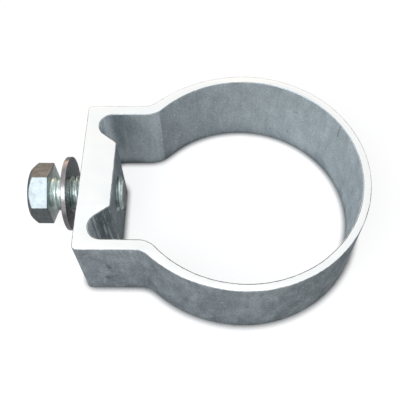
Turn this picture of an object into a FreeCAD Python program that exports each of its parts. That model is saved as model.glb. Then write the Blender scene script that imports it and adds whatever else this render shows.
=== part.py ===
# Sign post clamp: a length of extruded aluminium that loops round a post and carries
# a block with a flat face for the sign. One hexagon screw with a plain washer goes
# through the sign into the block and bears on the post.
#
# Frame: +Z up along the post, +X from the screw head towards the far side of the ring,
# origin on the ring's axis in the lower sawn face.
import FreeCAD, Part
import Sketcher
import math
import os

# Driving dimensions in millimetres and degrees: name, value and what it measures.
SIZES = [
    ("ring_bore", 63.0, "inside diameter of the ring"),
    ("ring_wall", 2.2, "wall of the ring"),
    ("clamp_height", 25.0, "length sawn off the extrusion"),
    ("post_gap", 3.75, "from the ring's bore to the block's inner face"),
    ("block_thickness", 9.0, "block, from the sign's face to the inner face"),
    ("block_width", 45.6, "across the two side walls"),
    ("block_corner", 1.4, "radius on the outer corners of the block"),
    ("side_wall", 3.15, "wall beside the neck"),
    ("flare_shift", 3.1, "how far the centre of the outer flare lies past the ring's axis"),
    ("shoulder_radius", 5.0, "radius outside the neck where the flare begins"),
    ("flare_radius", 6.5, "radius inside the neck where it opens into the ring"),
    ("pocket_width", 9.65, "from the side wall to the raised middle of the block"),
    ("pocket_floor", 3.65, "metal left behind the pocket"),
    ("pocket_radius", 3.7, "round end of the pocket"),
    ("middle_corner", 1.0, "radius on the corners of the raised middle"),
    ("screw_height", 14.2, "screw axis above the lower face"),
    ("screw_diameter", 9.9, "outside of the thread"),
    ("screw_clearance", 0.05, "radial play in the tapped hole"),
    ("screw_length", 20.0, "under the head to the tip"),
    ("screw_reach", 1.6, "tip past the block's inner face"),
    ("tip_chamfer", 1.0, "chamfer on the screw's tip"),
    ("hole_chamfer", 0.7, "chamfer at the mouth of the tapped hole"),
    ("head_width", 15.0, "across the flats"),
    ("head_thickness", 5.7, "height of the head"),
    ("head_land", 0.4, "from the flats to the round face on top of the head"),
    ("head_slope", 40.0, "chamfer of the head's corners"),
    ("washer_outside", 21.0, "outside diameter of the washer"),
    ("washer_thickness", 1.4, "thickness of the washer"),
    ("washer_edge", 0.25, "rounded edge left by punching"),
    ("washer_clearance", 0.3, "radial clearance of the washer's hole on the screw"),
    ("washer_play", 0.05, "left above the screw where the washer hangs on it"),
    ("washer_shift", 0.45, "washer from the middle of the free thread, towards the block"),
]

# Places that several sketches share, as expressions on the sheet.
BORE_RADIUS = "sizes.ring_bore / 2"
INNER_FACE = f"({BORE_RADIUS} + sizes.post_gap)"
SIGN_FACE = f"({INNER_FACE} + sizes.block_thickness)"
HALF_WIDTH = "sizes.block_width / 2"
NECK_HALF_WIDTH = f"({HALF_WIDTH} - sizes.side_wall)"
HOLE_DIAMETER = "sizes.screw_diameter + 2 * sizes.screw_clearance"
FREE_THREAD = "(sizes.screw_length - sizes.screw_reach - sizes.block_thickness)"
HEAD_CORNER = "(sizes.head_width / 2 / cos(30 deg))"

# A sketch counts its own axes down from -1, and its origin is the first point of the X axis.
ORIGIN = (-1, 1)
X_AXIS = -1
Y_AXIS = X_AXIS - 1

doc = FreeCAD.newDocument("sign_post_clamp")
sizes = doc.addObject("Spreadsheet::Sheet", "sizes")
for row, (name, value, meaning) in enumerate(SIZES, start=1):
    sizes.set(f"A{row}", name)
    sizes.set(f"B{row}", str(value))
    sizes.setAlias(f"B{row}", name)
    sizes.set(f"C{row}", meaning)
doc.recompute()


def origin_plane(body, role):
    """One of the body's own origin planes."""
    return next(plane for plane in body.Origin.OriginFeatures if plane.Role == role)


def new_sketch(body, name, role):
    """An empty sketch on an origin plane of the body."""
    sketch = body.newObject("Sketcher::SketchObject", name)
    sketch.AttachmentSupport = (origin_plane(body, role), [""])
    sketch.MapMode = "FlatFace"
    return sketch


def measure(sketch, name, expression, *constraint):
    """A named constraint of the sketch, bound to the sheet."""
    index = sketch.addConstraint(Sketcher.Constraint(*constraint))
    sketch.renameConstraint(index, name)
    sketch.setExpression(f"Constraints.{name}", expression)


def line(start, end):
    return Part.LineSegment(FreeCAD.Vector(*start, 0), FreeCAD.Vector(*end, 0))


def arc(centre, radius, first, last):
    """An anticlockwise arc between two angles in degrees."""
    circle = Part.Circle(FreeCAD.Vector(*centre, 0), FreeCAD.Vector(0, 0, 1), radius)
    return Part.ArcOfCircle(circle, math.radians(first), math.radians(last))


def turned(body, name, profile, feature="PartDesign::Revolution"):
    """A full turn of the profile about the body's X axis, added or, as a groove, cut."""
    solid = body.newObject(feature, name)
    solid.Profile = profile
    solid.ReferenceAxis = (profile, ["H_Axis"])
    solid.Angle = 360
    profile.Visibility = False
    return solid


def draw_clamp_profile(sketch):
    """The far half of the extruded section, from the sign's face round to the ring."""
    bore = sizes.ring_bore / 2
    outside = bore + sizes.ring_wall
    inner_face = bore + sizes.post_gap
    sign_face = inner_face + sizes.block_thickness
    half = sizes.block_width / 2
    neck = half - sizes.side_wall
    corner = sizes.block_corner
    shift = sizes.flare_shift
    bend = sizes.shoulder_radius
    bend_centre = (-math.sqrt((outside + shift + bend) ** 2 - (half + bend + shift) ** 2), half + bend)
    bend_end = math.degrees(math.atan2(-shift - bend_centre[1], -bend_centre[0]))
    flare = sizes.flare_radius
    flare_centre = (-math.sqrt((bore + flare) ** 2 - (neck + flare) ** 2), neck + flare)
    flare_end = math.degrees(math.atan2(-flare_centre[1], -flare_centre[0]))
    pocket = sizes.pocket_radius
    pocket_centre = (sizes.pocket_floor + pocket - sign_face, neck - pocket)
    middle = neck - sizes.pocket_width
    edge = sizes.middle_corner
    across = -inner_face - pocket_centre[0]
    along = middle - pocket_centre[1]
    turn = math.atan2(along, across) - math.acos(pocket / math.hypot(across, along))
    pocket_exit = (pocket_centre[0] + pocket * math.cos(turn), pocket_centre[1] + pocket * math.sin(turn))

    face, outer_corner, side, shoulder, outer_flare, ring_outside, seam, ring_inside = range(8)
    inner_flare, neck_side, pocket_end, pocket_slope, middle_edge, middle_face, root = range(8, 15)
    sketch.addGeometry([
        line((-sign_face, 0), (-sign_face, half - corner)),
        arc((corner - sign_face, half - corner), corner, 90, 180),
        line((corner - sign_face, half), (bend_centre[0], half)),
        arc(bend_centre, bend, -90, bend_end),
        arc((0, -shift), outside + shift, 90, bend_end + 180),
        arc((0, 0), outside, 0, 90),
        line((outside, 0), (bore, 0)),
        arc((0, 0), bore, 0, flare_end + 180),
        arc(flare_centre, flare, -90, flare_end),
        line((flare_centre[0], neck), (pocket_centre[0], neck)),
        arc(pocket_centre, pocket, 90, math.degrees(turn) + 360),
        line(pocket_exit, (-inner_face, middle)),
        arc((-inner_face - edge, middle - edge), edge, 0, math.degrees(turn) + 180),
        line((-inner_face, middle - edge), (-inner_face, 0)),
        line((-inner_face, 0), (-sign_face, 0)),
    ])
    sketch.addConstraint([
        Sketcher.Constraint("Tangent", face, 2, outer_corner, 2),
        Sketcher.Constraint("Tangent", outer_corner, 1, side, 1),
        Sketcher.Constraint("Tangent", side, 2, shoulder, 1),
        Sketcher.Constraint("Tangent", shoulder, 2, outer_flare, 2),
        Sketcher.Constraint("Tangent", outer_flare, 1, ring_outside, 2),
        Sketcher.Constraint("Coincident", ring_outside, 1, seam, 1),
        Sketcher.Constraint("Coincident", seam, 2, ring_inside, 1),
        Sketcher.Constraint("Tangent", ring_inside, 2, inner_flare, 2),
        Sketcher.Constraint("Tangent", inner_flare, 1, neck_side, 1),
        Sketcher.Constraint("Tangent", neck_side, 2, pocket_end, 1),
        Sketcher.Constraint("Tangent", pocket_end, 2, pocket_slope, 1),
        Sketcher.Constraint("Tangent", pocket_slope, 2, middle_edge, 2),
        Sketcher.Constraint("Tangent", middle_edge, 1, middle_face, 1),
        Sketcher.Constraint("Coincident", middle_face, 2, root, 1),
        Sketcher.Constraint("Coincident", root, 2, face, 1),
        Sketcher.Constraint("Coincident", ring_outside, 3, *ORIGIN),
        Sketcher.Constraint("Coincident", ring_inside, 3, *ORIGIN),
        Sketcher.Constraint("PointOnObject", outer_flare, 3, Y_AXIS),
        Sketcher.Constraint("PointOnObject", face, 1, X_AXIS),
        Sketcher.Constraint("PointOnObject", seam, 1, X_AXIS),
        Sketcher.Constraint("PointOnObject", seam, 2, X_AXIS),
        Sketcher.Constraint("PointOnObject", middle_face, 2, X_AXIS),
        Sketcher.Constraint("Vertical", face),
        Sketcher.Constraint("Horizontal", side),
        Sketcher.Constraint("Horizontal", neck_side),
        Sketcher.Constraint("Vertical", middle_face),
    ])
    # The middle is measured at its sharp corner, before the edge is rounded.
    corner_point = sketch.addGeometry(Part.Point(FreeCAD.Vector(-inner_face, middle, 0)), True)
    sketch.addConstraint(Sketcher.Constraint("PointOnObject", corner_point, 1, middle_face))
    sketch.addConstraint(Sketcher.Constraint("PointOnObject", corner_point, 1, pocket_slope))

    measure(sketch, "bore", BORE_RADIUS, "Radius", ring_inside, bore)
    measure(sketch, "outside", f"{BORE_RADIUS} + sizes.ring_wall", "Radius", ring_outside, outside)
    measure(sketch, "sign_face", SIGN_FACE, "DistanceX", face, 1, *ORIGIN, sign_face)
    measure(sketch, "inner_face", INNER_FACE, "DistanceX", middle_face, 2, *ORIGIN, inner_face)
    measure(sketch, "half_width", HALF_WIDTH, "DistanceY", *ORIGIN, side, 1, half)
    measure(sketch, "neck", NECK_HALF_WIDTH, "DistanceY", *ORIGIN, neck_side, 1, neck)
    measure(sketch, "corner", "sizes.block_corner", "Radius", outer_corner, corner)
    measure(sketch, "flare_shift", "sizes.flare_shift", "DistanceY", outer_flare, 3, *ORIGIN, shift)
    measure(sketch, "shoulder_radius", "sizes.shoulder_radius", "Radius", shoulder, bend)
    measure(sketch, "flare_radius", "sizes.flare_radius", "Radius", inner_flare, flare)
    measure(sketch, "pocket_radius", "sizes.pocket_radius", "Radius", pocket_end, pocket)
    measure(sketch, "pocket_place", f"{SIGN_FACE} - sizes.pocket_floor - sizes.pocket_radius",
            "DistanceX", pocket_end, 3, *ORIGIN, -pocket_centre[0])
    measure(sketch, "middle", f"{NECK_HALF_WIDTH} - sizes.pocket_width",
            "DistanceY", *ORIGIN, corner_point, 1, middle)
    measure(sketch, "middle_edge", "sizes.middle_corner", "Radius", middle_edge, edge)


def make_clamp_body():
    """The extrusion: ring, neck and block in one piece, with the tapped hole drilled through."""
    body = doc.addObject("PartDesign::Body", "clamp_body")
    profile = new_sketch(body, "half_section", "XY_Plane")
    draw_clamp_profile(profile)

    half = body.newObject("PartDesign::Pad", "far_half")
    half.Profile = profile
    half.setExpression("Length", "sizes.clamp_height")
    profile.Visibility = False

    both = body.newObject("PartDesign::Mirrored", "both_halves")
    both.Originals = [half]
    both.MirrorPlane = (origin_plane(body, "XZ_Plane"), [""])
    body.Tip = both

    centre = new_sketch(body, "hole_centre", "YZ_Plane")
    centre.setExpression("AttachmentOffset.Base.z", f"-{SIGN_FACE}")
    spot = centre.addGeometry(Part.Circle(FreeCAD.Vector(0, sizes.screw_height, 0),
                                          FreeCAD.Vector(0, 0, 1), sizes.screw_diameter / 2))
    centre.addConstraint(Sketcher.Constraint("DistanceX", *ORIGIN, spot, 3, 0))
    measure(centre, "height", "sizes.screw_height",
            "DistanceY", *ORIGIN, spot, 3, sizes.screw_height)
    measure(centre, "diameter", HOLE_DIAMETER, "Diameter", spot, sizes.screw_diameter)
    doc.recompute()

    # The thread itself is too fine to draw, so the hole takes the screw's outside diameter.
    hole = body.newObject("PartDesign::Hole", "tapped_hole")
    hole.Profile = centre
    doc.recompute()
    hole.Reversed = True
    hole.DepthType = "Dimension"
    hole.DrillPoint = "Flat"
    hole.HoleCutType = "Countersink"
    hole.HoleCutCustomValues = True
    hole.setExpression("Depth", "sizes.block_thickness + sizes.post_gap")
    hole.setExpression("Diameter", HOLE_DIAMETER)
    hole.setExpression("HoleCutDiameter", f"{HOLE_DIAMETER} + 2 * sizes.hole_chamfer")
    hole.HoleCutCountersinkAngle = 90
    centre.Visibility = False
    body.Tip = hole
    return body


def make_screw():
    """The hexagon screw, threaded to the head: its axis along +X, the head's underside at zero."""
    body = doc.addObject("PartDesign::Body", "screw")
    radius = sizes.screw_diameter / 2
    length = sizes.screw_length
    chamfer = sizes.tip_chamfer

    shank = new_sketch(body, "shank_section", "XY_Plane")
    axis, under_head, crest, tip_edge, tip = range(5)
    shank.addGeometry([
        line((length, 0), (0, 0)),
        line((0, 0), (0, radius)),
        line((0, radius), (length - chamfer, radius)),
        line((length - chamfer, radius), (length, radius - chamfer)),
        line((length, radius - chamfer), (length, 0)),
    ])
    for side in range(5):
        shank.addConstraint(Sketcher.Constraint("Coincident", side, 2, (side + 1) % 5, 1))
    shank.addConstraint([
        Sketcher.Constraint("Coincident", under_head, 1, *ORIGIN),
        Sketcher.Constraint("Horizontal", axis),
        Sketcher.Constraint("Vertical", under_head),
        Sketcher.Constraint("Horizontal", crest),
        Sketcher.Constraint("Vertical", tip),
    ])
    measure(shank, "radius", "sizes.screw_diameter / 2", "DistanceY", *ORIGIN, crest, 1, radius)
    measure(shank, "length", "sizes.screw_length", "DistanceX", *ORIGIN, axis, 1, length)
    measure(shank, "chamfer_along", "sizes.tip_chamfer", "DistanceX", tip_edge, 1, tip_edge, 2, chamfer)
    measure(shank, "chamfer_in", "sizes.tip_chamfer", "DistanceY", tip_edge, 2, tip_edge, 1, chamfer)
    turned(body, "shank", shank)

    # A corner of the hexagon points straight up.
    corner = sizes.head_width / 2 / math.cos(math.radians(30))
    hexagon = new_sketch(body, "head_section", "YZ_Plane")
    points = [(corner * math.cos(math.radians(60 * step + 30)),
               corner * math.sin(math.radians(60 * step + 30))) for step in range(6)]
    hexagon.addGeometry([line(points[step - 1], points[step]) for step in range(6)])
    guide = hexagon.addGeometry(Part.Circle(FreeCAD.Vector(), FreeCAD.Vector(0, 0, 1), corner), True)
    hexagon.addConstraint(Sketcher.Constraint("Coincident", guide, 3, *ORIGIN))
    for side in range(6):
        hexagon.addConstraint(Sketcher.Constraint("Coincident", side - 1 if side else 5, 2, side, 1))
        hexagon.addConstraint(Sketcher.Constraint("PointOnObject", side, 1, guide))
    for side in range(1, 6):
        hexagon.addConstraint(Sketcher.Constraint("Equal", 0, side))
    hexagon.addConstraint(Sketcher.Constraint("Vertical", 0))
    measure(hexagon, "corners", HEAD_CORNER, "Radius", guide, corner)

    head = body.newObject("PartDesign::Pad", "head")
    head.Profile = hexagon
    head.Reversed = True
    head.setExpression("Length", "sizes.head_thickness")
    hexagon.Visibility = False

    # The corners of the head are turned off at a slope that starts at its round face.
    bevel = new_sketch(body, "bevel_section", "XY_Plane")
    top = -sizes.head_thickness
    round_face = sizes.head_width / 2 - sizes.head_land
    outer = 2 * corner - round_face
    depth = (outer - round_face) * math.tan(math.radians(sizes.head_slope))
    bevel.addGeometry([
        line((top, round_face), (top, outer)),
        line((top, outer), (top + depth, outer)),
        line((top + depth, outer), (top, round_face)),
    ])
    for side in range(3):
        bevel.addConstraint(Sketcher.Constraint("Coincident", side, 2, (side + 1) % 3, 1))
    bevel.addConstraint(Sketcher.Constraint("Vertical", 0))
    bevel.addConstraint(Sketcher.Constraint("Horizontal", 1))
    measure(bevel, "head_top", "sizes.head_thickness", "DistanceX", 0, 1, *ORIGIN, -top)
    measure(bevel, "round_face", "sizes.head_width / 2 - sizes.head_land",
            "DistanceY", *ORIGIN, 0, 1, round_face)
    measure(bevel, "width", f"2 * ({HEAD_CORNER} - sizes.head_width / 2 + sizes.head_land)",
            "DistanceY", 0, 1, 0, 2, outer - round_face)
    measure(bevel, "depth", "Constraints.width * tan(sizes.head_slope * 1 deg)",
            "DistanceX", 1, 1, 1, 2, depth)
    body.Tip = turned(body, "head_bevel", bevel, "PartDesign::Groove")

    body.setExpression("Placement.Base.x", f"sizes.screw_reach - sizes.screw_length - {INNER_FACE}")
    body.setExpression("Placement.Base.z", "sizes.screw_height")
    return body


def make_washer():
    """The plain washer, hanging on the thread between the head and the block."""
    body = doc.addObject("PartDesign::Body", "washer")
    inside = sizes.screw_diameter / 2 + sizes.washer_clearance
    outside = sizes.washer_outside / 2
    thickness = sizes.washer_thickness
    edge = sizes.washer_edge

    section = new_sketch(body, "washer_section", "XY_Plane")
    bore, front, front_edge, rim, back_edge, back = range(6)
    section.addGeometry([
        line((thickness, inside), (0, inside)),
        line((0, inside), (0, outside - edge)),
        arc((edge, outside - edge), edge, 90, 180),
        line((edge, outside), (thickness - edge, outside)),
        arc((thickness - edge, outside - edge), edge, 0, 90),
        line((thickness, outside - edge), (thickness, inside)),
    ])
    section.addConstraint([
        Sketcher.Constraint("Coincident", bore, 2, front, 1),
        Sketcher.Constraint("Tangent", front, 2, front_edge, 2),
        Sketcher.Constraint("Tangent", front_edge, 1, rim, 1),
        Sketcher.Constraint("Tangent", rim, 2, back_edge, 2),
        Sketcher.Constraint("Tangent", back_edge, 1, back, 1),
        Sketcher.Constraint("Coincident", back, 2, bore, 1),
        Sketcher.Constraint("Horizontal", bore),
        Sketcher.Constraint("Vertical", front),
        Sketcher.Constraint("Horizontal", rim),
        Sketcher.Constraint("Vertical", back),
        Sketcher.Constraint("Equal", front_edge, back_edge),
        Sketcher.Constraint("PointOnObject", front, 1, Y_AXIS),
    ])
    measure(section, "hole", "sizes.screw_diameter / 2 + sizes.washer_clearance",
            "DistanceY", *ORIGIN, front, 1, inside)
    measure(section, "outside", "sizes.washer_outside / 2", "DistanceY", *ORIGIN, rim, 1, outside)
    measure(section, "thickness", "sizes.washer_thickness", "DistanceX", bore, 2, bore, 1, thickness)
    measure(section, "edge", "sizes.washer_edge", "Radius", front_edge, edge)
    body.Tip = turned(body, "washer_ring", section)

    body.setExpression("Placement.Base.x", f"-{SIGN_FACE} - {FREE_THREAD} / 2"
                       " - sizes.washer_thickness / 2 + sizes.washer_shift")
    body.setExpression("Placement.Base.z",
                       "sizes.screw_height - sizes.washer_clearance + sizes.washer_play")
    return body


pieces = [make_clamp_body(), make_screw(), make_washer()]
doc.recompute()

for item in doc.Objects:
    if "Invalid" in item.State or "Error" in item.State:
        raise RuntimeError(f"{item.Label} did not build")
for piece in pieces:
    if piece.Shape.isNull() or not piece.Shape.isValid() or len(piece.Shape.Solids) != 1:
        raise RuntimeError(f"{piece.Label} is not one valid solid")

os.makedirs("parts", exist_ok=True)
for piece in pieces:
    piece.Shape.exportStep(f"parts/{piece.Label}.step")
    print(piece.Label, round(piece.Shape.Volume, 1), piece.Shape.BoundBox)
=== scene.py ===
"""A sign post clamp: an extruded aluminium ring with a screw block, one hexagon screw and one washer.

The clamp lies on a pale floor with the post's axis upright. Everything is in metres, in the frame of
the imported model: +Z up along the post, +X from the screw's head through the block to the ring.
"""

import math
import random

import bmesh
import bpy
from mathutils import Matrix, Vector
from mathutils.geometry import tessellate_polygon


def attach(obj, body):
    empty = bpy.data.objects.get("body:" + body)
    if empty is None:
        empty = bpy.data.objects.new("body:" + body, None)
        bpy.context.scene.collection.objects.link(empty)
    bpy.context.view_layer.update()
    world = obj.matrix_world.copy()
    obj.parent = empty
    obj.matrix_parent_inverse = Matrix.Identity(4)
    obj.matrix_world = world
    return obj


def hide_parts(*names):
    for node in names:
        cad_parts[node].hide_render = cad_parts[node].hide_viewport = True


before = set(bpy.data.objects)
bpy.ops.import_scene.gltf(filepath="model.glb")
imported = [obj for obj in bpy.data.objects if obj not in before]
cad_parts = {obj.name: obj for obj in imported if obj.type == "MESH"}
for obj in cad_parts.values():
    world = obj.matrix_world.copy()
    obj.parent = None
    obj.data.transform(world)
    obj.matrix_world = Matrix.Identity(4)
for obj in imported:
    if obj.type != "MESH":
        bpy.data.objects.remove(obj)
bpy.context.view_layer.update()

# The clamp body is one length sawn off an aluminium extrusion: a ring that goes round the post, a
# neck, and a thick block with two undercut pockets. The die leaves the walls smooth and grey, and the
# saw leaves the two ends bright, with a slightly ragged edge.

MM = 0.001
HEIGHT = 25.0
SIGN_FACE = -44.25
INNER_FACE = -35.25
SCREW_HEIGHT = 14.2
HOLE_PATCH = 8.0
SKIN, SAWN, TAPPED, SHADED_BURR = range(4)


def outline(start, moves, step=0.4):
    """Points along a line in mm. A move is (x, y), a straight run, or (x, y, degrees), an arc round x, y."""
    points = [Vector(start)]
    for move in moves:
        here, there = points[-1], Vector(move[:2])
        if len(move) == 2:
            count = math.ceil((there - here).length / step)
            points += [here.lerp(there, k / count) for k in range(1, count + 1)]
        else:
            arm, turn = here - there, math.radians(move[2])
            count = math.ceil(abs(turn) * arm.length / step)
            points += [there + Matrix.Rotation(turn * k / count, 2) @ arm for k in range(1, count + 1)]
    return points


def both_halves(half):
    """The whole closed outline from its half with y above 0, which starts and ends on the x axis."""
    return half + [Vector((p.x, -p.y)) for p in reversed(half[1:-1])]


outer_half = outline((33.7, 0), [
    (0, 0, 90), (0, -3.1, 42.334), (-28.15, 27.8, -42.334), (-42.85, 22.8), (-42.85, 21.4, 90),
    (SIGN_FACE, HOLE_PATCH), (SIGN_FACE, 0)])
inner_half = outline((31.5, 0), [
    (0, 0, 136.515), (-27.571, 26.15, -46.515), (-36.9, 19.65), (-36.9, 15.95, 142.31),
    (-35.639, 10.3), (-36.25, 9.509, -52.31), (INNER_FACE, HOLE_PATCH), (INNER_FACE, 0)])

# The walls stand on the two outlines. Near each saw cut they turn over in a small round edge, whose
# radius wanders as a saw blade and a few strokes of a file leave it: 0.08 to 0.25 mm, and up to 0.55 mm
# on the lower edge inside, where the blade leaves the metal. The upper edge inside is rubbed most in
# front, by up to 0.42 mm.
# Two marks are left for the material to read. The first is painted light and shade: the skin is painted
# paler inside the neck and the ring, palest on the far side, a little paler outside towards the block,
# and darkest on the block's raised inner face and outside at the ring's right end. The inner side of the
# block, with its pockets, is scored by the die.
FILED = (0.08, 0.25)
RUBBED = (0.12, 0.22)
TORN = (0.35, 0.55)
RING_START = -24
POCKET_MOUTH = -34
POCKET_END = 14
RAISED_MIDDLE = 9.6

body_mesh = bmesh.new()
painted_light = body_mesh.verts.layers.float.new("painted_light")
scored = body_mesh.verts.layers.float.new("scored")
edge_wear = random.Random(7)
cap_loops = {"low": [], "high": []}
hole_sides = []
for half, into_metal, face_x, wear in (
        (outer_half, -1, SIGN_FACE, (FILED, FILED)), (inner_half, 1, INNER_FACE, (TORN, RUBBED))):
    loop = both_halves(half)
    rows = [[] for _ in range(8)]
    worn = [least for least, most in wear]
    for i, here in enumerate(loop):
        along = (loop[(i + 1) % len(loop)] - loop[i - 1]).normalized()
        inward = Vector((along.y, -along.x)) * into_metal
        for end in (0, 1):
            radius = worn[end] = 0.6 * worn[end] + 0.4 * edge_wear.uniform(*wear[end])
            if end and face_x == INNER_FACE:
                radius *= 1.4 - here.y / 60
            for step in range(4):
                turn = math.radians(30 * step)
                point = here + inward * radius * (1 - math.sin(turn))
                depth = radius * (1 - math.cos(turn))
                z, row = (HEIGHT - depth, 7 - step) if end else (depth, step)
                vert = body_mesh.verts.new((point.x * MM, point.y * MM, z * MM))
                # Painted light and shade: how much paler this point of the skin is painted.
                if face_x == SIGN_FACE:
                    vert[painted_light] = 0.3 * min(1.0, max(0.0, (25 - here.x) / 20))
                elif here.x > RING_START:
                    vert[painted_light] = min(1.0, 0.7 + here.x / 55)
                elif here.x > POCKET_MOUTH or abs(here.y) > POCKET_END:
                    vert[painted_light] = 0.75 if here.x > POCKET_MOUTH or here.y > 0 else 0.4
                if face_x == INNER_FACE and here.x < POCKET_MOUTH:
                    vert[scored] = 1.0 if abs(here.y) > RAISED_MIDDLE else 0.2
                rows[row].append(vert)
    patch = [i for i, p in enumerate(loop) if abs(p.x - face_x) < 1e-4 and abs(p.y) < HOLE_PATCH + 1e-4]
    for row in range(7):
        for i in range(len(loop)):
            j = (i + 1) % len(loop)
            if row == 3 and i in patch and j in patch:
                continue
            wall = body_mesh.faces.new((rows[row][i], rows[row][j], rows[row + 1][j], rows[row + 1][i]))
            # The round edge next to each cut carries the burr's painted shade.
            wall.material_index = SHADED_BURR if row in (0, 6) else SKIN
    hole_sides.append((face_x, [rows[3][i] for i in patch] + [rows[4][i] for i in reversed(patch)]))
    cap_loops["low"].append(rows[0])
    cap_loops["high"].append(rows[7])


def fill_between(made, rim, ring, slot):
    """Flat faces of a bmesh between a closed rim of vertices and a ring inside it, with a material slot."""
    verts = rim + ring
    for triangle in tessellate_polygon([[v.co for v in rim], [v.co for v in ring]]):
        made.faces.new([verts[k] for k in triangle]).material_index = slot


for outer_edge, inner_edge in cap_loops.values():
    fill_between(body_mesh, outer_edge, inner_edge, SAWN)


def add_node(tree, kind, inputs=(), **settings):
    """Add a node. inputs maps an input's name or number to a value, or to the output that feeds it."""
    made = tree.nodes.new(kind)
    for name, value in settings.items():
        setattr(made, name, value)
    for name, value in dict(inputs).items():
        if isinstance(value, bpy.types.NodeSocket):
            tree.links.new(value, made.inputs[name])
        else:
            made.inputs[name].default_value = value
    return made


def linear(hex_colour):
    """The linear colour that a shader takes, from an sRGB hex value."""
    parts = [int(hex_colour[k:k + 2], 16) / 255 for k in (1, 3, 5)]
    return [c / 12.92 if c <= 0.04045 else ((c + 0.055) / 1.055) ** 2.4 for c in parts] + [1.0]


# Mill-finish aluminium 6063, straight from the press: a soft grey metal with fine die lines along the
# extrusion, a cloudy oxide skin speckled with pale and dark spots, light scuffs, small dark marks from
# handling, and six spots of grime, given by middle and reach in mm. It shines softly, never sharply.
mill_finish = bpy.data.materials.new("mill_finish_aluminium")
mill_finish.use_nodes = True
tree = mill_finish.node_tree
shader = tree.nodes["Principled BSDF"]
place = add_node(tree, "ShaderNodeTexCoord")
smeared = add_node(tree, "ShaderNodeMapping", {"Vector": place.outputs["Object"], "Scale": (1, 1, 0.6)})
clouds = add_node(tree, "ShaderNodeTexNoise", {
    "Vector": smeared.outputs[0], "Scale": 1 / (3.5 * MM), "Detail": 5, "Roughness": 0.6})
speckle = add_node(tree, "ShaderNodeTexNoise", {
    "Vector": place.outputs["Object"], "Scale": 1 / (0.55 * MM), "Detail": 3, "Roughness": 0.7})
drawn_out = add_node(tree, "ShaderNodeMapping", {"Vector": place.outputs["Object"], "Scale": (1, 1, 0.04)})
die_lines = add_node(tree, "ShaderNodeTexNoise", {
    "Vector": drawn_out.outputs[0], "Scale": 1 / (0.8 * MM), "Detail": 3, "Roughness": 0.6})
scuffs = add_node(tree, "ShaderNodeTexNoise", {
    "Vector": place.outputs["Object"], "Scale": 1 / (0.7 * MM), "Detail": 2, "Roughness": 0.7})
marks = add_node(tree, "ShaderNodeTexNoise", {
    "Vector": place.outputs["Object"], "Scale": 1 / (2.2 * MM), "Detail": 2, "Roughness": 0.6})
cloud_tone = add_node(tree, "ShaderNodeMapRange", {
    0: clouds.outputs[0], "From Min": 0.35, "From Max": 0.65, "To Min": 0.08, "To Max": 0.42})
speckle_tone = add_node(tree, "ShaderNodeMapRange", {
    0: speckle.outputs[0], "From Min": 0.35, "From Max": 0.65, "To Min": 0.0, "To Max": 0.42})
line_tone = add_node(tree, "ShaderNodeMapRange", {
    0: die_lines.outputs[0], "From Min": 0.3, "From Max": 0.7, "To Min": 0.0, "To Max": 0.14})
tone = add_node(tree, "ShaderNodeMath", {
    0: cloud_tone.outputs[0], 1: speckle_tone.outputs[0]}, operation="ADD")
tone = add_node(tree, "ShaderNodeMath", {0: tone.outputs[0], 1: line_tone.outputs[0]}, operation="ADD")
# The skin's shaded and lit tones, mixed by the painted light and shade that the body carries.
shaded_skin_tone = add_node(tree, "ShaderNodeMix", {
    "Factor": tone.outputs[0], "A": linear("#6c7479"), "B": linear("#b8c0c4")}, data_type="RGBA")
lit_skin_tone = add_node(tree, "ShaderNodeMix", {
    "Factor": tone.outputs[0], "A": linear("#b5c2cc"), "B": linear("#f4feff")}, data_type="RGBA")
painted_light_amount = add_node(tree, "ShaderNodeAttribute", attribute_name="painted_light")
skin = add_node(tree, "ShaderNodeMix", {
    "Factor": painted_light_amount.outputs["Fac"], "A": shaded_skin_tone.outputs["Result"], "B": lit_skin_tone.outputs["Result"]},
    data_type="RGBA")
scuff_amount = add_node(tree, "ShaderNodeMapRange", {
    0: scuffs.outputs[0], "From Min": 0.6, "From Max": 0.7, "To Min": 0.0, "To Max": 0.6})
scuffed_skin = add_node(tree, "ShaderNodeMix", {
    "Factor": scuff_amount.outputs[0], "A": skin.outputs["Result"], "B": linear("#f4faff")}, data_type="RGBA")
mark_amount = add_node(tree, "ShaderNodeMapRange", {
    0: marks.outputs[0], "From Min": 0.69, "From Max": 0.77, "To Min": 0.0, "To Max": 0.5})
marked = add_node(tree, "ShaderNodeMix", {
    "Factor": mark_amount.outputs[0], "A": scuffed_skin.outputs["Result"], "B": linear("#4c5356")},
    data_type="RGBA")
grime = [
    ((-36.0, -22.8, 14.4), (0.9, 0.9, 2.2), 0.35), ((-36.9, -22.8, 7.6), (1.5, 0.9, 2.2), 0.55),
    ((12.0, -31.5, 10.1), (1.2, 0.6, 0.7), 0.5), ((13.6, -30.8, 10.6), (1.2, 0.8, 0.8), 0.5),
    ((3.6, -33.5, 22.6), (0.7, 0.5, 1.5), 0.4), ((27.2, 15.9, 21.6), (0.45, 0.45, 3.8), 0.5)]
for middle, reach, darkness in grime:
    spot = add_node(tree, "ShaderNodeMapping", {
        "Vector": place.outputs["Object"], "Location": [c * MM for c in middle],
        "Scale": [r * MM for r in reach]}, vector_type="TEXTURE")
    spot = add_node(tree, "ShaderNodeTexGradient", {"Vector": spot.outputs[0]}, gradient_type="SPHERICAL")
    amount = add_node(tree, "ShaderNodeMapRange", {
        0: spot.outputs["Fac"], "From Max": 0.5, "To Max": darkness})
    ragged = add_node(tree, "ShaderNodeMapRange", {
        0: scuffs.outputs[0], "From Min": 0.38, "From Max": 0.58, "To Max": amount.outputs[0]})
    marked = add_node(tree, "ShaderNodeMix", {
        "Factor": ragged.outputs[0], "A": marked.outputs["Result"], "B": linear("#33383b")},
        data_type="RGBA")
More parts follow.
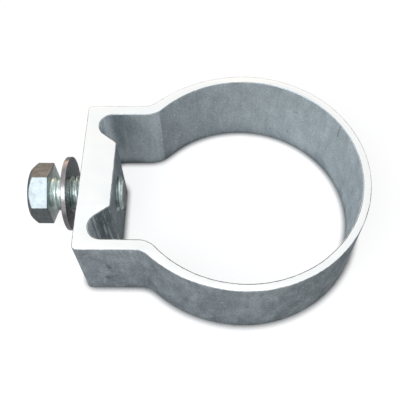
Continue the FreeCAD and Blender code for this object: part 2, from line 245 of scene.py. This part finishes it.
score_lines = add_node(tree, "ShaderNodeMapRange", {
    0: die_lines.outputs[0], "From Min": 0.54, "From Max": 0.62, "To Min": 0.0, "To Max": 0.8})
score_place = add_node(tree, "ShaderNodeAttribute", attribute_name="scored")
scores = add_node(tree, "ShaderNodeMath", {
    0: score_lines.outputs[0], 1: score_place.outputs["Fac"]}, operation="MULTIPLY")
finished = add_node(tree, "ShaderNodeMix", {
    "Factor": scores.outputs[0], "A": marked.outputs["Result"], "B": linear("#e2e9eb")}, data_type="RGBA")
tree.links.new(finished.outputs["Result"], shader.inputs["Base Color"])
gloss = add_node(tree, "ShaderNodeMapRange", {
    0: clouds.outputs[0], "From Min": 0.35, "From Max": 0.65, "To Min": 0.42, "To Max": 0.56})
tree.links.new(gloss.outputs[0], shader.inputs["Roughness"])
bump = add_node(tree, "ShaderNodeBump", {
    "Height": die_lines.outputs[0], "Strength": 0.35, "Distance": 0.03 * MM})
tree.links.new(bump.outputs[0], shader.inputs["Normal"])
shader.inputs["Specular Tint"].default_value = linear("#ccd2d5")
shader.inputs["Metallic"].default_value = 1.0

# Freshly sawn aluminium: the oxide skin is cut away, so it is almost white, with the faint arcs that
# a circular saw of 250 mm leaves. The real arcs are 0.2 mm apart, and here 0.5 mm so that they show. The
# wave texture repeats every 0.314 at scale 1.
WAVE_REPEAT = 0.314
ARC_SPACING = 0.5

sawn = bpy.data.materials.new("sawn_aluminium")
sawn.use_nodes = True
tree = sawn.node_tree
shader = tree.nodes["Principled BSDF"]
place = add_node(tree, "ShaderNodeTexCoord")
from_blade = add_node(tree, "ShaderNodeMapping", {
    "Vector": place.outputs["Object"], "Location": (-0.02, 0.14, 0)})
arcs = add_node(tree, "ShaderNodeTexWave", {
    "Vector": from_blade.outputs[0], "Scale": WAVE_REPEAT / (ARC_SPACING * MM), "Distortion": 3.0,
    "Detail": 3, "Detail Scale": 0.4}, wave_type="RINGS", rings_direction="Z")
patches = add_node(tree, "ShaderNodeTexNoise", {
    "Vector": place.outputs["Object"], "Scale": 1 / (5 * MM), "Detail": 3})
tone = add_node(tree, "ShaderNodeMath", {0: arcs.outputs["Fac"], 1: patches.outputs[0]}, operation="MULTIPLY")
face = add_node(tree, "ShaderNodeMix", {
    "Factor": tone.outputs[0], "A": linear("#f5f8f6"), "B": linear("#ebedeb")}, data_type="RGBA")
tree.links.new(face.outputs["Result"], shader.inputs["Base Color"])
gloss = add_node(tree, "ShaderNodeMapRange", {
    0: patches.outputs[0], "From Min": 0.3, "From Max": 0.7, "To Min": 0.42, "To Max": 0.52})
tree.links.new(gloss.outputs[0], shader.inputs["Roughness"])
bump = add_node(tree, "ShaderNodeBump", {
    "Height": arcs.outputs["Fac"], "Strength": 0.3, "Distance": 0.02 * MM})
tree.links.new(bump.outputs[0], shader.inputs["Normal"])
shader.inputs["Metallic"].default_value = 1.0

# Every cut edge shows as a thin dark line, flecked bright where the torn burr along the saw cut is rubbed.
# The dark is painted shade: the round edge turning away from the light, and at the foot the contact shadow.
shaded_burr = bpy.data.materials.new("grimy_burr")
shaded_burr.use_nodes = True
tree = shaded_burr.node_tree
shader = tree.nodes["Principled BSDF"]
place = add_node(tree, "ShaderNodeTexCoord")
flecks = add_node(tree, "ShaderNodeTexNoise", {
    "Vector": place.outputs["Object"], "Scale": 1 / (0.8 * MM), "Detail": 3, "Roughness": 0.7})
fleck_tone = add_node(tree, "ShaderNodeMapRange", {0: flecks.outputs[0], "From Min": 0.35, "From Max": 0.65})
flecked = add_node(tree, "ShaderNodeMix", {
    "Factor": fleck_tone.outputs[0], "A": linear("#3b4043"), "B": linear("#8b9295")}, data_type="RGBA")
tree.links.new(flecked.outputs["Result"], shader.inputs["Base Color"])
gloss = add_node(tree, "ShaderNodeMapRange", {0: flecks.outputs[0], "To Min": 0.65, "To Max": 0.45})
tree.links.new(gloss.outputs[0], shader.inputs["Roughness"])
shader.inputs["Metallic"].default_value = 1.0

# The hole through the block is drilled and tapped for a coarse 10 mm screw: bright cut aluminium with
# the tap's fine chatter along the thread. Its mouths are chamfered, so that the tap starts cleanly.
tapped = bpy.data.materials.new("tapped_aluminium")
tapped.use_nodes = True
tree = tapped.node_tree
shader = tree.nodes["Principled BSDF"]
place = add_node(tree, "ShaderNodeTexCoord")
chatter = add_node(tree, "ShaderNodeTexNoise", {
    "Vector": place.outputs["Object"], "Scale": 1 / (0.4 * MM), "Detail": 2})
cut = add_node(tree, "ShaderNodeMix", {
    "Factor": chatter.outputs[0], "A": linear("#8f9496"), "B": linear("#c4c8c9")}, data_type="RGBA")
tree.links.new(cut.outputs["Result"], shader.inputs["Base Color"])
gloss = add_node(tree, "ShaderNodeMapRange", {0: chatter.outputs[0], "To Min": 0.22, "To Max": 0.4})
tree.links.new(gloss.outputs[0], shader.inputs["Roughness"])
shader.inputs["Metallic"].default_value = 1.0

AROUND = 144
PITCH = 1.5

# One tree cuts both threads. It rolls a grid up into a tube whose rows follow the helix, so that every
# row keeps its place in the thread's profile: crest, flank or root. Chamfers of 45 degrees trim the
# ends, from outside for a screw (Side 1) and from inside for a hole (Side -1).
thread = bpy.data.node_groups.new("thread", "GeometryNodeTree")
thread.is_modifier = True
for label, kind, value in (
        ("Start", "NodeSocketVector", (0, 0, 0)), ("Length", "NodeSocketFloat", 0.02),
        ("Lead In", "NodeSocketFloat", 0.0), ("Pitch", "NodeSocketFloat", 0.0015),
        ("Crest Radius", "NodeSocketFloat", 0.005), ("Root Radius", "NodeSocketFloat", 0.004),
        ("Run-out", "NodeSocketFloat", 0.0), ("Run-out Radius", "NodeSocketFloat", 0.0045),
        ("Near Radius", "NodeSocketFloat", 0.005), ("Far Radius", "NodeSocketFloat", 0.004),
        ("Side", "NodeSocketFloat", 1.0), ("Around", "NodeSocketInt", AROUND),
        ("Rows", "NodeSocketInt", 16), ("Material", "NodeSocketMaterial", None)):
    socket = thread.interface.new_socket(label, in_out="INPUT", socket_type=kind)
    if value is not None:
        socket.default_value = value
thread.interface.new_socket("Thread", in_out="OUTPUT", socket_type="NodeSocketGeometry")
given = add_node(thread, "NodeGroupInput").outputs
turns = add_node(thread, "ShaderNodeMath", {0: given["Length"], 1: given["Pitch"]}, operation="DIVIDE")
turns = add_node(thread, "ShaderNodeMath", {0: turns.outputs[0]}, operation="CEIL")
turns = add_node(thread, "ShaderNodeMath", {0: turns.outputs[0], 1: 3.0}, operation="ADD")
row_count = add_node(thread, "ShaderNodeMath", {0: turns.outputs[0], 1: given["Rows"]}, operation="MULTIPLY")
columns = add_node(thread, "ShaderNodeMath", {0: given["Around"], 1: 1.0}, operation="ADD")
rows_up = add_node(thread, "ShaderNodeMath", {0: row_count.outputs[0], 1: 1.0}, operation="ADD")
grid = add_node(thread, "GeometryNodeMeshGrid", {
    "Size X": 1.0, "Size Y": 1.0, "Vertices X": columns.outputs[0], "Vertices Y": rows_up.outputs[0]})
spot = add_node(thread, "GeometryNodeInputPosition")
spot = add_node(thread, "ShaderNodeSeparateXYZ", {0: spot.outputs[0]})
turn = add_node(thread, "ShaderNodeMath", {0: spot.outputs["X"], 1: 0.5}, operation="ADD")
row = add_node(thread, "ShaderNodeMath", {0: spot.outputs["Y"], 1: 0.5}, operation="ADD")
row = add_node(thread, "ShaderNodeMath", {0: row.outputs[0], 1: row_count.outputs[0]}, operation="MULTIPLY")
row = add_node(thread, "ShaderNodeMath", {0: row.outputs[0]}, operation="ROUND")
wound = add_node(thread, "ShaderNodeMath", {0: row.outputs[0], 1: given["Rows"]}, operation="DIVIDE")
raised = add_node(thread, "ShaderNodeMath", {0: wound.outputs[0], 1: turn.outputs[0]}, operation="ADD")
raised = add_node(thread, "ShaderNodeMath", {0: raised.outputs[0], 1: 1.0}, operation="SUBTRACT")
raised = add_node(thread, "ShaderNodeMath", {0: raised.outputs[0], 1: given["Pitch"]}, operation="MULTIPLY")
shift = add_node(thread, "ShaderNodeMath", {0: given["Lead In"], 1: given["Pitch"]}, operation="MODULO")
raised = add_node(thread, "ShaderNodeMath", {0: raised.outputs[0], 1: shift.outputs[0]}, operation="SUBTRACT")
along = add_node(thread, "ShaderNodeClamp", {"Value": raised.outputs[0], "Min": 0.0, "Max": given["Length"]})
phase = add_node(thread, "ShaderNodeMath", {0: wound.outputs[0]}, operation="FRACT")
phase = add_node(thread, "ShaderNodeMath", {0: phase.outputs[0], 1: 0.5}, operation="SUBTRACT")
phase = add_node(thread, "ShaderNodeMath", {0: phase.outputs[0]}, operation="ABSOLUTE")
profile = add_node(thread, "ShaderNodeMapRange", {
    "Value": phase.outputs[0], "From Min": 1 / 16, "From Max": 3 / 8,
    "To Min": given["Crest Radius"], "To Max": given["Root Radius"]})
run_out = add_node(thread, "ShaderNodeMath", {0: given["Run-out"], 1: 1e-9}, operation="MAXIMUM")
started = add_node(thread, "ShaderNodeMapRange", {
    "Value": along.outputs[0], "From Min": 0.0, "From Max": run_out.outputs[0],
    "To Min": given["Run-out Radius"], "To Max": profile.outputs[0]})
trim = add_node(thread, "ShaderNodeMath", {0: started.outputs[0], 1: given["Side"]}, operation="MULTIPLY")
near = add_node(thread, "ShaderNodeMath", {0: given["Near Radius"], 1: given["Side"]}, operation="MULTIPLY")
near = add_node(thread, "ShaderNodeMath", {0: near.outputs[0], 1: along.outputs[0]}, operation="ADD")
trim = add_node(thread, "ShaderNodeMath", {0: trim.outputs[0], 1: near.outputs[0]}, operation="MINIMUM")
far = add_node(thread, "ShaderNodeMath", {0: given["Far Radius"], 1: given["Side"]}, operation="MULTIPLY")
far = add_node(thread, "ShaderNodeMath", {0: far.outputs[0], 1: given["Length"]}, operation="ADD")
far = add_node(thread, "ShaderNodeMath", {0: far.outputs[0], 1: along.outputs[0]}, operation="SUBTRACT")
trim = add_node(thread, "ShaderNodeMath", {0: trim.outputs[0], 1: far.outputs[0]}, operation="MINIMUM")
radius = add_node(thread, "ShaderNodeMath", {0: trim.outputs[0], 1: given["Side"]}, operation="MULTIPLY")
angle = add_node(thread, "ShaderNodeMath", {0: turn.outputs[0], 1: 2 * math.pi}, operation="MULTIPLY")
sideways = add_node(thread, "ShaderNodeMath", {0: angle.outputs[0]}, operation="COSINE")
sideways = add_node(thread, "ShaderNodeMath", {
    0: sideways.outputs[0], 1: radius.outputs[0]}, operation="MULTIPLY")
upward = add_node(thread, "ShaderNodeMath", {0: angle.outputs[0]}, operation="SINE")
upward = add_node(thread, "ShaderNodeMath", {
    0: upward.outputs[0], 1: radius.outputs[0]}, operation="MULTIPLY")
rolled = add_node(thread, "ShaderNodeCombineXYZ", {
    "X": along.outputs[0], "Y": sideways.outputs[0], "Z": upward.outputs[0]})
rolled = add_node(thread, "ShaderNodeVectorMath", {0: rolled.outputs[0], 1: given["Start"]}, operation="ADD")
tube = add_node(thread, "GeometryNodeSetPosition", {
    "Geometry": grid.outputs["Mesh"], "Position": rolled.outputs[0]})
tube = add_node(thread, "GeometryNodeMergeByDistance", {"Geometry": tube.outputs[0], "Distance": 0.001 * MM})
tube = add_node(thread, "GeometryNodeSetShadeSmooth", {0: tube.outputs[0]})
tube = add_node(thread, "GeometryNodeRealizeInstances", {0: tube.outputs[0]})
tube = add_node(thread, "GeometryNodeSetMaterial", {
    "Geometry": tube.outputs[0], "Material": given["Material"]})
add_node(thread, "NodeGroupOutput", {"Thread": tube.outputs[0]})


def threaded_tube(name, **sizes):
    """A plain mesh of the thread tree's result, with its inputs set by name."""
    holder = bpy.data.objects.new(name, bpy.data.meshes.new(name))
    bpy.context.scene.collection.objects.link(holder)
    modifier = holder.modifiers.new("thread", "NODES")
    modifier.node_group = thread
    for item in thread.interface.items_tree:
        key = item.name.replace(" ", "_").replace("-", "_").lower()
        if item.in_out == "INPUT" and key in sizes:
            modifier[item.identifier] = sizes[key]
    ready = holder.evaluated_get(bpy.context.evaluated_depsgraph_get())
    mesh = bpy.data.meshes.new_from_object(ready)
    bpy.data.objects.remove(holder)
    return mesh


def circle(made, x, radius, height):
    """New vertices of a bmesh, evenly round a circle across the x axis, from sizes in mm."""
    turns = [2 * math.pi * k / AROUND for k in range(AROUND)]
    return [made.verts.new(Vector((x, radius * math.cos(turn), height + radius * math.sin(turn))) * MM)
            for turn in turns]


# The tap's thread has the screw's own pitch and phase and stands 0.13 mm off it, so the screw turns in
# it without touching. The chamfers at its two mouths are cut with it.
HOLE_MOUTH = 5.7
HOLE_EXIT = 5.3
hole_mesh = threaded_tube(
    "hole", start=Vector((SIGN_FACE, 0, SCREW_HEIGHT)) * MM, length=(INNER_FACE - SIGN_FACE) * MM,
    lead_in=(SIGN_FACE + 53.65) * MM, pitch=PITCH * MM, crest_radius=5.08 * MM, root_radius=4.16 * MM,
    run_out_radius=5.08 * MM, near_radius=HOLE_MOUTH * MM, far_radius=HOLE_EXIT * MM, side=-1.0,
    material=tapped)
for (face_x, rim), radius in zip(hole_sides, (HOLE_MOUTH, HOLE_EXIT)):
    fill_between(body_mesh, rim, circle(body_mesh, face_x, radius, SCREW_HEIGHT), SKIN)
skin_faces = len(body_mesh.faces)
body_mesh.from_mesh(hole_mesh)
body_mesh.faces.ensure_lookup_table()
for added in body_mesh.faces[skin_faces:]:
    added.material_index = TAPPED
bmesh.ops.remove_doubles(body_mesh, verts=body_mesh.verts, dist=0.001 * MM)
bmesh.ops.dissolve_degenerate(body_mesh, edges=body_mesh.edges, dist=0.0001 * MM)
bmesh.ops.recalc_face_normals(body_mesh, faces=body_mesh.faces)


def finished_piece(name, made, materials, sharp_above):
    """An object from a bmesh, smooth except across edges that turn by more than an angle in degrees."""
    mesh = bpy.data.meshes.new(name)
    made.to_mesh(mesh)
    made.free()
    for material in materials:
        mesh.materials.append(material)
    mesh.polygons.foreach_set("use_smooth", [True] * len(mesh.polygons))
    mesh.set_sharp_from_angle(angle=math.radians(sharp_above))
    piece = bpy.data.objects.new(name, mesh)
    bpy.context.scene.collection.objects.link(piece)
    return piece


body = finished_piece("extruded_body", body_mesh, [mill_finish, sawn, tapped, shaded_burr], 29)
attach(body, "clamp")
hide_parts("clamp_body")

# The screw is a coarse 10 mm hexagon screw of steel, threaded up to its head: cold forged, rolled and
# then zinc plated. The head is 15 mm across flats and 5.7 mm thick, with its corners turned off at
# 40 degrees, and it carries no marks.
UNDERSIDE = -53.65
HEAD_END = -59.35
FLAT = 7.5
CORNER_ROUND = 0.25
FACE_RADIUS = 7.1
SCREW_LENGTH = 20.0
NECK = 4.5
PLATED, ROLLED = range(2)


def bridge(made, rings):
    """Faces of a bmesh between each ring of vertices and the next one."""
    for low, high in zip(rings, rings[1:]):
        for i in range(len(low)):
            j = (i + 1) % len(low)
            made.faces.new((low[i], low[j], high[j], high[i])).material_index = PLATED


screw_mesh = bmesh.new()
hexagon = []
for side in range(6):
    corner = math.radians(90 + 60 * side)
    centre = Vector((math.cos(corner), math.sin(corner))) * (FLAT - CORNER_ROUND) / math.cos(math.pi / 6)
    for k in range(5):
        turn = corner + math.radians(-30 + 15 * k)
        hexagon.append(centre + CORNER_ROUND * Vector((math.cos(turn), math.sin(turn))))
    flat = corner + math.pi / 6
    for offset in (-4.08, -3.0, -1.5, 0, 1.5, 3.0, 4.08):
        hexagon.append(Vector((FLAT * math.cos(flat) - offset * math.sin(flat),
                               FLAT * math.sin(flat) + offset * math.cos(flat))))
head_rows = []
for point in hexagon:
    out = point.length
    chamfer = HEAD_END + (out - FACE_RADIUS) * math.tan(math.radians(40))
    head_rows.append([
        (HEAD_END, FACE_RADIUS - 0.12), (HEAD_END + 0.03, FACE_RADIUS + 0.08),
        (chamfer - 0.16, out - 0.24), (chamfer - 0.07, out - 0.12), (chamfer + 0.04, out - 0.04),
        (chamfer + 0.16, out), (chamfer + 0.4, out), (UNDERSIDE - 0.4, out), (UNDERSIDE - 0.15, out),
        (UNDERSIDE - 0.07, out - 0.02), (UNDERSIDE - 0.02, out - 0.07), (UNDERSIDE, out - 0.15)])
head_rings = []
for row in range(12):
    head_rings.append([])
    for point, profile in zip(hexagon, head_rows):
        x, out = profile[row]
        spot = point.normalized() * out
        head_rings[row].append(screw_mesh.verts.new(Vector((x, spot.x, SCREW_HEIGHT + spot.y)) * MM))
bridge(screw_mesh, head_rings)
dished = []
for radius, sunk in ((6.2, 0.0), (5.4, 0.06), (2.0, 0.09)):
    dished.append([])
    for point in hexagon:
        spot = point.normalized() * radius
        dished[-1].append(screw_mesh.verts.new(Vector((
            HEAD_END + sunk, spot.x, SCREW_HEIGHT + spot.y)) * MM))
bridge(screw_mesh, [head_rings[0]] + dished)
screw_mesh.faces.new(dished[-1])
fill_between(screw_mesh, head_rings[-1], circle(screw_mesh, UNDERSIDE, NECK, SCREW_HEIGHT), ROLLED)
shank = threaded_tube(
    "shank", start=Vector((UNDERSIDE, 0, SCREW_HEIGHT)) * MM, length=SCREW_LENGTH * MM, lead_in=0.0,
    pitch=PITCH * MM, crest_radius=4.95 * MM, root_radius=4.03 * MM, run_out=1.0 * MM,
    run_out_radius=NECK * MM, near_radius=9.0 * MM, far_radius=3.95 * MM, side=1.0)
head_faces = len(screw_mesh.faces)
screw_mesh.from_mesh(shank)
screw_mesh.faces.ensure_lookup_table()
for added in screw_mesh.faces[head_faces:]:
    added.material_index = ROLLED
tip = [circle(screw_mesh, UNDERSIDE + SCREW_LENGTH - sunk, radius, SCREW_HEIGHT)
       for radius, sunk in ((3.95, 0.0), (3.1, 0.0), (2.4, 0.2))]
bridge(screw_mesh, tip)
screw_mesh.faces.new(tip[-1])
bmesh.ops.remove_doubles(screw_mesh, verts=screw_mesh.verts, dist=0.001 * MM)
bmesh.ops.dissolve_degenerate(screw_mesh, edges=screw_mesh.edges, dist=0.0001 * MM)
bmesh.ops.recalc_face_normals(screw_mesh, faces=screw_mesh.faces)

# Bright zinc plate with a clear blue passivation on steel: it mirrors softly, with a cool tint and
# small cloudy patches where the passivation dried unevenly.
zinc = bpy.data.materials.new("blue_passivated_zinc")
zinc.use_nodes = True
tree = zinc.node_tree
shader = tree.nodes["Principled BSDF"]
place = add_node(tree, "ShaderNodeTexCoord")
patches = add_node(tree, "ShaderNodeTexNoise", {
    "Vector": place.outputs["Object"], "Scale": 1 / (1.6 * MM), "Detail": 3, "Roughness": 0.6})
grain = add_node(tree, "ShaderNodeTexNoise", {
    "Vector": place.outputs["Object"], "Scale": 1 / (0.5 * MM), "Detail": 2})
tone = add_node(tree, "ShaderNodeMapRange", {0: patches.outputs[0], "From Min": 0.35, "From Max": 0.65})
plate = add_node(tree, "ShaderNodeMix", {
    "Factor": tone.outputs[0], "A": linear("#656b6d"), "B": linear("#7b8284")}, data_type="RGBA")
tree.links.new(plate.outputs["Result"], shader.inputs["Base Color"])
gloss = add_node(tree, "ShaderNodeMapRange", {
    0: patches.outputs[0], "From Min": 0.35, "From Max": 0.65, "To Min": 0.22, "To Max": 0.29})
tree.links.new(gloss.outputs[0], shader.inputs["Roughness"])
bump = add_node(tree, "ShaderNodeBump", {"Height": grain.outputs[0], "Strength": 0.15, "Distance": 0.02 * MM})
tree.links.new(bump.outputs[0], shader.inputs["Normal"])
shader.inputs["Metallic"].default_value = 1.0

# The rolled thread and the bearing face under the head carry the same plate, rougher and less even where
# the dies pressed the steel, and painted much paler than the head: painted light that brightens the thread
# and lifts the shade under the head.
lit_rolled_zinc = zinc.copy()
lit_rolled_zinc.name = "zinc_on_rolled_thread"
plate = next(node for node in lit_rolled_zinc.node_tree.nodes if node.bl_idname == "ShaderNodeMix")
# Painted light: the plate's paler tones on the thread.
plate.inputs["A"].default_value = linear("#b8c8c5")
plate.inputs["B"].default_value = linear("#e9f3ef")
gloss = next(link.from_node for link in lit_rolled_zinc.node_tree.links if link.to_socket.name == "Roughness"
             and link.to_node.bl_idname == "ShaderNodeBsdfPrincipled")
gloss.inputs["To Min"].default_value = 0.28
gloss.inputs["To Max"].default_value = 0.38

screw = finished_piece("hexagon_screw", screw_mesh, [zinc, lit_rolled_zinc], 32)
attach(screw, "clamp_screw")
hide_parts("screw")

# The washer is a plain 10 mm washer, punched from 1.4 mm steel sheet and zinc plated. The punch rolls
# one edge over and leaves the other crisp. It hangs loose on the thread and leans back by 1.5 degrees,
# about the point of its rim that meets the block first, so it stays clear when the screw is driven in.
WASHER_NEAR = -49.2
WASHER_THICK = 1.4
WASHER_CENTRE = 13.95
WASHER_OUT = 10.5
WASHER_HOLE = 5.25

washer_mesh = bmesh.new()
section = outline((0, WASHER_OUT - 0.3), [
    (0.3, WASHER_OUT - 0.3, -90), (WASHER_THICK - 0.1, WASHER_OUT),
    (WASHER_THICK - 0.1, WASHER_OUT - 0.1, -90), (WASHER_THICK, WASHER_HOLE + 0.1),
    (WASHER_THICK - 0.1, WASHER_HOLE + 0.1, -90), (0.25, WASHER_HOLE),
    (0.25, WASHER_HOLE + 0.25, -90), (0, WASHER_OUT - 0.3)], step=0.08)[:-1]
rings = [circle(washer_mesh, WASHER_NEAR + x, out, WASHER_CENTRE) for x, out in section]
bridge(washer_mesh, rings + rings[:1])
bmesh.ops.recalc_face_normals(washer_mesh, faces=washer_mesh.faces)
lean = Vector((0, 0.016, 0.02))
rim_point = Vector((WASHER_NEAR + WASHER_THICK, 0, WASHER_CENTRE)) - WASHER_OUT * lean.normalized()
tilt = Vector((1, 0, 0)).rotation_difference(Vector((1, 0, 0)) + lean)
bmesh.ops.rotate(washer_mesh, verts=washer_mesh.verts, matrix=tilt.to_matrix(), cent=rim_point * MM)

# The same bright zinc plate as on the screw, with a duller and warmer look on the washer, where it lies
# over the rougher skin of rolled sheet.
sheet_zinc = zinc.copy()
sheet_zinc.name = "zinc_on_punched_sheet"
plate = next(node for node in sheet_zinc.node_tree.nodes if node.bl_idname == "ShaderNodeMix")
plate.inputs["A"].default_value = linear("#8b8889")
plate.inputs["B"].default_value = linear("#9c999a")
washer = finished_piece("plain_washer", washer_mesh, [sheet_zinc], 32)
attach(washer, "washer_carrier")
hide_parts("washer")

# The floor is a sheet of white card, which keeps the clamp's soft shadow. The camera sees it lifted to
# white, and the metal mirrors it less bright. Close to the clamp's feet it darkens, as less of the room
# reaches it there.
card = bpy.data.materials.new("white_card")
card.use_nodes = True
tree = card.node_tree
tree.nodes.clear()
rays = add_node(tree, "ShaderNodeLightPath")
mirrored = add_node(tree, "ShaderNodeMath", {
    0: rays.outputs["Is Glossy Ray"], 1: rays.outputs["Is Transmission Ray"]}, operation="MAXIMUM")
mirrored = add_node(tree, "ShaderNodeMath", {0: mirrored.outputs[0], 1: 0.2}, operation="MULTIPLY")
seen = add_node(tree, "ShaderNodeMath", {0: rays.outputs["Is Camera Ray"], 1: 0.65}, operation="MULTIPLY")
lift = add_node(tree, "ShaderNodeMath", {0: mirrored.outputs[0], 1: seen.outputs[0]}, operation="MAXIMUM")
open_room = add_node(tree, "ShaderNodeAmbientOcclusion", {"Distance": 3 * MM}, samples=8)
strength = add_node(tree, "ShaderNodeMapRange", {
    0: open_room.outputs["AO"], "From Min": 0.5, "From Max": 0.85, "To Min": 0.0, "To Max": 1.3})
ground = add_node(tree, "ShaderNodeMix", {
    "Factor": rays.outputs["Is Glossy Ray"], "A": linear("#efefef"), "B": linear("#a8a8a8")},
    data_type="RGBA")
matt = add_node(tree, "ShaderNodeBsdfDiffuse", {"Color": ground.outputs["Result"]})
glow = add_node(tree, "ShaderNodeEmission", {"Color": linear("#ffffff"), "Strength": strength.outputs[0]})
both = add_node(tree, "ShaderNodeMixShader", {0: lift.outputs[0], 1: matt.outputs[0], 2: glow.outputs[0]})
add_node(tree, "ShaderNodeOutputMaterial", {"Surface": both.outputs[0]})
floor_mesh = bpy.data.meshes.new("floor")
floor_mesh.from_pydata([(-3, -3, 0), (3, -3, 0), (3, 3, 0), (-3, 3, 0)], [], [(0, 1, 2, 3)])
floor_mesh.materials.append(card)
floor = bpy.data.objects.new("floor", floor_mesh)
bpy.context.scene.collection.objects.link(floor)

# The room: white overhead, with a warm bright wall behind the clamp, which the hexagon's back flat
# mirrors. Diffuse surfaces take a third of it, and the softbox gives the rest.
world = bpy.data.worlds.new("room")
world.use_nodes = True
bpy.context.scene.world = world
tree = world.node_tree
tree.nodes.clear()
toward = add_node(tree, "ShaderNodeTexCoord")
toward = add_node(tree, "ShaderNodeSeparateXYZ", {0: toward.outputs["Generated"]})
low = add_node(tree, "ShaderNodeMapRange", {
    0: toward.outputs["Z"], "From Min": 0.1, "From Max": 0.5, "To Min": 1.0, "To Max": 0.0})
behind = add_node(tree, "ShaderNodeMapRange", {0: toward.outputs["Y"], "From Min": 0.3, "From Max": 0.8})
wall = add_node(tree, "ShaderNodeMath", {0: low.outputs[0], 1: behind.outputs[0]}, operation="MULTIPLY")
sky = add_node(tree, "ShaderNodeMix", {
    "Factor": wall.outputs[0], "A": linear("#fbfcff"), "B": linear("#ffdcbe")}, data_type="RGBA")
rays = add_node(tree, "ShaderNodeLightPath")
seen = add_node(tree, "ShaderNodeMath", {
    0: rays.outputs["Is Camera Ray"], 1: rays.outputs["Is Glossy Ray"]}, operation="MAXIMUM")
seen = add_node(tree, "ShaderNodeMath", {
    0: seen.outputs[0], 1: rays.outputs["Is Transmission Ray"]}, operation="MAXIMUM")
level = add_node(tree, "ShaderNodeMapRange", {0: seen.outputs[0], "To Min": 0.33, "To Max": 1.0})
bright_wall = add_node(tree, "ShaderNodeMapRange", {0: wall.outputs[0], "To Min": 1.0, "To Max": 2.6})
level = add_node(tree, "ShaderNodeMath", {
    0: level.outputs[0], 1: bright_wall.outputs[0]}, operation="MULTIPLY")
light = add_node(tree, "ShaderNodeBackground", {"Color": sky.outputs["Result"], "Strength": level.outputs[0]})
add_node(tree, "ShaderNodeOutputWorld", {"Surface": light.outputs[0]})

# One softbox over the camera's left shoulder. The hexagon's upper flat, the washer's rim and the
# thread's crests mirror it, and the block's inner face and the right end of the ring are in its shade.
lamp = bpy.data.lights.new("softbox", "AREA")
lamp.size = 0.3
lamp.energy = 1.35
lamp.color = linear("#f8fbff")[:3]
softbox = bpy.data.objects.new("softbox", lamp)
direction = Vector((-0.34, -0.46, 0.85)).normalized()
aim = Vector((-0.03, 0, 0.01))
distance = 0.55
softbox.matrix_world = (Matrix.Translation(direction * distance + aim)
                        @ direction.to_track_quat("Z", "Y").to_matrix().to_4x4())
bpy.context.scene.collection.objects.link(softbox)

# The camera stands where the outline of the ring and the block puts it, 60 degrees above the floor. Its
# focal length in pixels of the photograph comes from the same outline.
FOCAL_PIXELS = 626.1
FRAME_PIXELS = 400
eye = Vector((-0.008085, -0.089355, 0.167540))
look_at = Vector((-0.012135, -0.001092, 0.0125))
roll = math.radians(2.0268)
back = (eye - look_at).normalized()
right = Vector((0, 0, 1)).cross(back).normalized()
upward = back.cross(right)
side = math.cos(roll) * right - math.sin(roll) * upward
top = math.sin(roll) * right + math.cos(roll) * upward
lens = bpy.data.cameras.new("camera")
lens.sensor_fit = "HORIZONTAL"
lens.sensor_width = 36.0
lens.lens = FOCAL_PIXELS / FRAME_PIXELS * lens.sensor_width
lens.clip_start = 0.005
camera = bpy.data.objects.new("camera", lens)
camera.matrix_world = Matrix.Translation(eye) @ Matrix((side, top, back)).transposed().to_4x4()
bpy.context.scene.collection.objects.link(camera)
bpy.context.scene.camera = camera
bpy.context.scene.view_settings.view_transform = "Standard"
